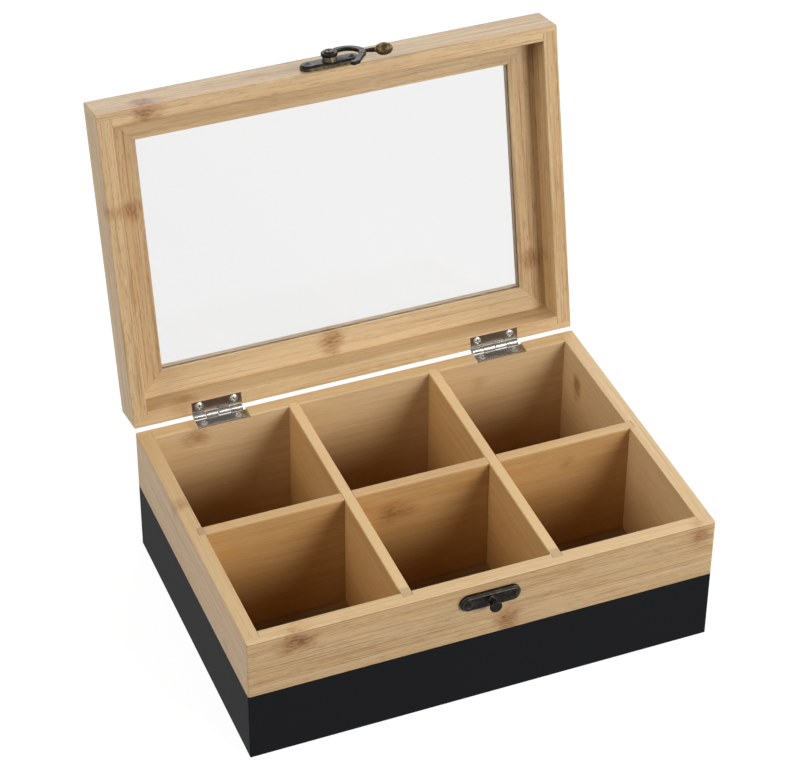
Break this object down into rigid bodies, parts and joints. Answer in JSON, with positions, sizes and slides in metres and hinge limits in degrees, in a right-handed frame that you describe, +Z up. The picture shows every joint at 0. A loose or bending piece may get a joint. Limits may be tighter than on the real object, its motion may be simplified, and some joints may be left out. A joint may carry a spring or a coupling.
{
  "type": "tea bag organizer box",
  "caption": "Hinged bamboo box with compartments for tea bags, a windowed lid and a swing-hook latch.",
  "frame": {"origin": "middle of the box's underside, on the plane that it stands on", "axes": "+X to the right along the long side, +Y from the front with the latch to the back with the hinges, +Z up"},
  "size_m": [0.24, 0.2328, 0.247],
  "materials": {
    "painted_bamboo": "satin lacquered bamboo, painted satin black on the lower part of its outer face",
    "bamboo": "satin lacquered bamboo with fine straight grain",
    "light_bamboo": "satin lacquered bamboo with fine straight grain",
    "clear_pane": "clear and polished",
    "nickel": "bright nickel plate",
    "bronze": "antique bronze, dark and rubbed bright on the edges"
  },
  "bodies": {
    "base": {"front_board": "painted_bamboo", "rear_board": "painted_bamboo", "left_board": "painted_bamboo", "right_board": "painted_bamboo", "bottom_panel": "bamboo", "long_divider": "light_bamboo", "left_cross_divider": "light_bamboo", "right_cross_divider": "light_bamboo", "left_hinge_base_leaf": "nickel", "right_hinge_base_leaf": "nickel", "left_hinge_pin": "nickel", "right_hinge_pin": "nickel", "base_hinge_screws": "nickel", "catch_plate": "bronze", "catch_stud": "bronze", "catch_plate_screws": "bronze"},
    "lid": {"lid_front_rail": "bamboo", "lid_rear_rail": "bamboo", "lid_left_rail": "bamboo", "lid_right_rail": "bamboo", "window_frame_front": "light_bamboo", "window_frame_rear": "light_bamboo", "window_frame_left": "light_bamboo", "window_frame_right": "light_bamboo", "window_pane": "clear_pane", "left_hinge_lid_leaf": "nickel", "right_hinge_lid_leaf": "nickel", "lid_hinge_screws": "nickel", "hook_plate": "bronze", "hook_plate_screws": "bronze", "hook_rivet": "bronze"},
    "hook": {"swing_hook": "bronze"}
  },
  "joints": [
    {"name": "lid_hinge", "type": "hinge", "parent": "base", "child": "lid", "pos_m": [0, 0.0849, 0.0725], "axis": [1, 0, 0], "range_deg": [0, 101.8]},
    {"name": "hook_pivot", "type": "hinge", "parent": "lid", "child": "hook", "pos_m": [0.0012, 0.12557, 0.23635], "axis": [0, 0.2045, 0.9789], "range_deg": [-20, 125]}
  ]
}
